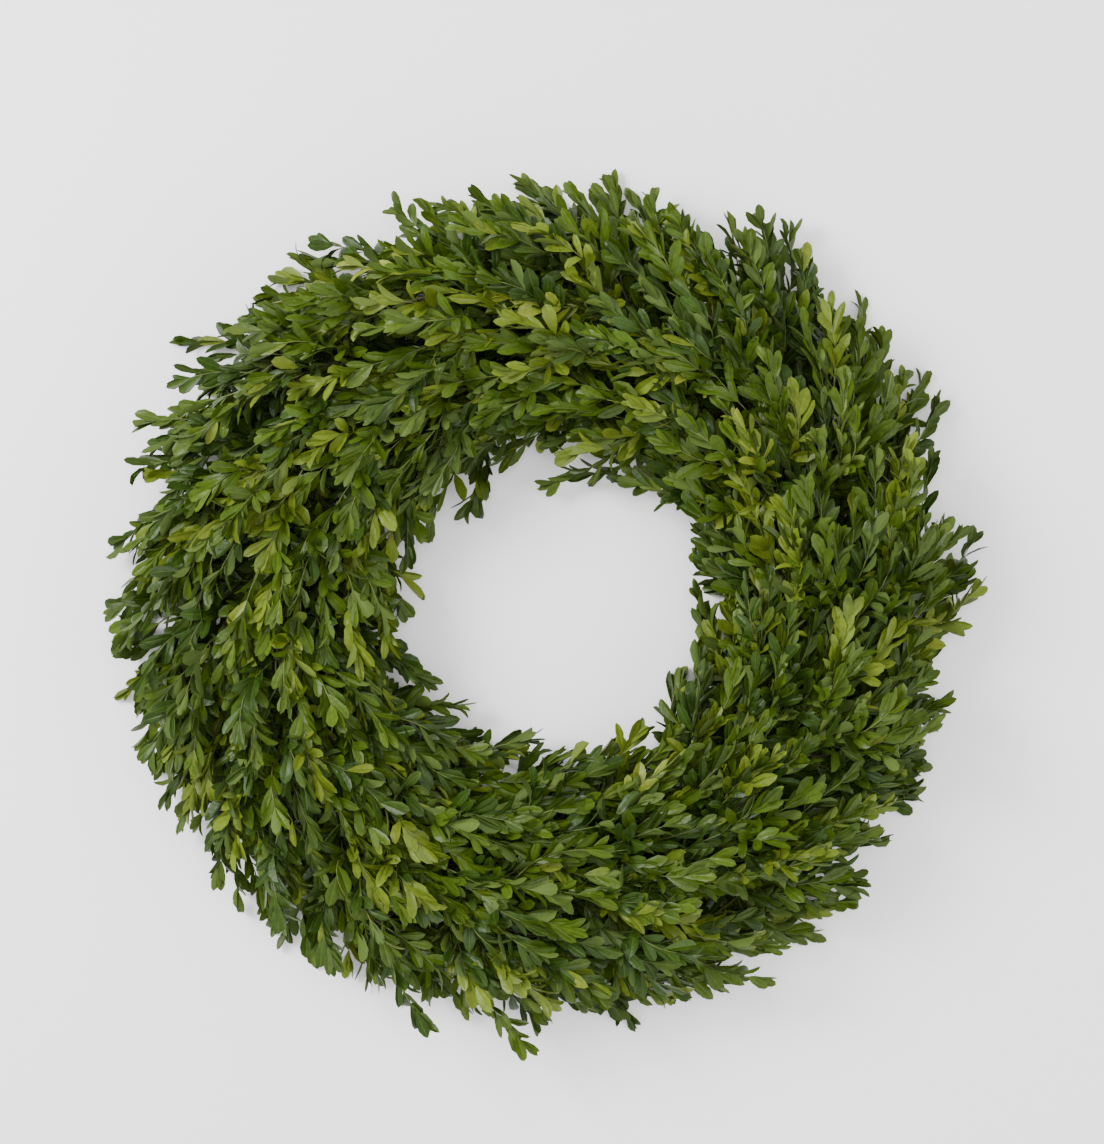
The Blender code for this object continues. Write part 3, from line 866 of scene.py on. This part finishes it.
def twined_ring():
    wobble = random.Random(SEED + 1)
    points, faces, bark_places = [], [], []
    for twig in range(TWIGS):
        starts = TURN * wobble.random()
        waves = [(wobble.uniform(*SWAY_COUNTS), wobble.uniform(0, TURN)) for _ in range(SWAY_WAVES)]
        path, radii = [], []
        for step in range(TWIG_STEPS + 1):
            share = step / TWIG_STEPS
            theta = starts + (TURN - TWIG_GAP) * share
            phi = TURN * twig / TWIGS - TWIG_TURNS * theta
            sway = sum(math.sin(count * theta + phase) for count, phase in waves)
            path.append(ring_point(theta, phi + SWAY_TURN * sway, TWIG_FROM_MIDDLE - SWAY_IN * sway))
            radii.append(between(*TWIG_RADIUS, share) * (1 + SWAY_THICKENS * sway))
        made, made_faces = tube(path, radii, TWIG_SIDES)
        faces += renumbered(made_faces, len(points))
        for index, point in enumerate(made):
            step, side = divmod(index, TWIG_SIDES)
            wander = RIDGE_WANDER * math.sin(WANDER_TURN * step + side)
            ridge = BARK_RIDGE * math.sin(RIDGE_TURN * side + wander)
            point = Vector(point)
            points.append(point + (point - path[step]).normalized() * ridge)
            angle = TURN * side / TWIG_SIDES
            bark_x, bark_y = (TWIG_RADIUS[0] * share for share in (math.cos(angle), math.sin(angle)))
            run = TURN * RING_RADIUS * step / TWIG_STEPS / BARK_STRETCH
            bark_places.append((bark_x, bark_y, twig + run))
    for point in points:
        theta = math.atan2(point.y - RING_MIDDLE.y, point.x - RING_MIDDLE.x)
        if point.z < KNOT_TOP:
            for angle in KNOT_ANGLES:
                off = (theta - math.radians(angle) + math.pi) % TURN - math.pi
                point.z -= point.z * math.exp(-((off / KNOT_SPREAD) ** 4))
    return [tuple(point) for point in points], faces, bark_places


# The binding wire, on the same path as its solid: once round the ring's section at each station
WIRE_STEPS = 36
WIRE_SIDES = 6
WIRE_RISE = 0.8  # how high up the section the wire clears the stems, from 0 at the foot to 2 at the top


def wound_wire():
    path = []
    for index in range(STATIONS * WIRE_STEPS):
        station, step = divmod(index, WIRE_STEPS)
        phi = TURN * step / WIRE_STEPS - math.pi / 2
        over_stems = smooth_step((math.sin(phi) + 1) / WIRE_RISE)
        distance = between(WIRE_UNDER_RING, WIRE_OVER_STEMS, over_stems)
        path.append(ring_point(station_angle(station, phi), phi, distance))
    path.append(path[0])
    return tube(path, [WIRE_RADIUS] * len(path), WIRE_SIDES)


ring_points, ring_faces, ring_bark = twined_ring()
plain_piece("twig_ring_twined", ring_points, ring_faces, TWIG_BARK, "twig_ring", ring_bark)
plain_piece("binding_wire_wound", *wound_wire(), WIRE_ENAMEL, "binding_wire")

# The floor
FLOOR_REACH = 40
FLOOR_COLOUR = (0.9, 0.9, 0.9, 1)
FLOOR_CORNERS = [(FLOOR_REACH * x, FLOOR_REACH * y, 0) for x, y in ((-1, -1), (1, -1), (1, 1), (-1, 1))]
floor_mesh = bpy.data.meshes.new("floor")
floor_mesh.from_pydata(FLOOR_CORNERS, [], [(0, 1, 2, 3)])
paper = Surface("floor_white", roughness=0.8)
paper.shader.inputs["Base Color"].default_value = FLOOR_COLOUR
floor_mesh.materials.append(paper.material)
floor = link_object("floor", floor_mesh)

# Soft studio light, from all round and from three lamps: place, size and watts
WORLD_STRENGTH = 1.40
LAMPS = {
    "key": ((-1.15, 0.6, 1.35), 0.8, 53),
    "fill": ((1.4, -0.6, 1.6), 1.4, 18),
    "front": ((0.1, 0.2, 2.5), 1.0, 24),
}
LAMPS_AIM = Vector((0, 0, 0.05))
world = bpy.data.worlds.new("studio")
bpy.context.scene.world = world
world.use_nodes = True
background = world.node_tree.nodes["Background"]
background.inputs["Color"].default_value = (1, 1, 1, 1)
background.inputs["Strength"].default_value = WORLD_STRENGTH
for name, (place, size, watts) in LAMPS.items():
    light = bpy.data.lights.new(name, "AREA")
    light.size = size
    light.energy = watts
    lamp = link_object(name, light)
    lamp.location = place
    lamp.rotation_euler = (LAMPS_AIM - Vector(place)).to_track_quat("-Z", "Y").to_euler()

# The camera looks straight down. What it shows at the wreath's middle height, and how far it is off the
# middle, put the wreath in the picture as large and in the same place as in the photograph.
PICTURE_HEIGHT = 0.7153  # across the long side of the picture
CAMERA_DISTANCE = 1.9
MIDDLE_HEIGHT = 0.045
CAMERA_OFF_MIDDLE = (0.0093, 0.0150)
SENSOR_WIDTH = 36  # millimetres
camera = bpy.data.cameras.new("camera")
camera.sensor_width = SENSOR_WIDTH
camera.lens = SENSOR_WIDTH * CAMERA_DISTANCE / PICTURE_HEIGHT
eye = link_object("camera", camera)
eye.location = (*CAMERA_OFF_MIDDLE, MIDDLE_HEIGHT + CAMERA_DISTANCE)
bpy.context.scene.camera = eye
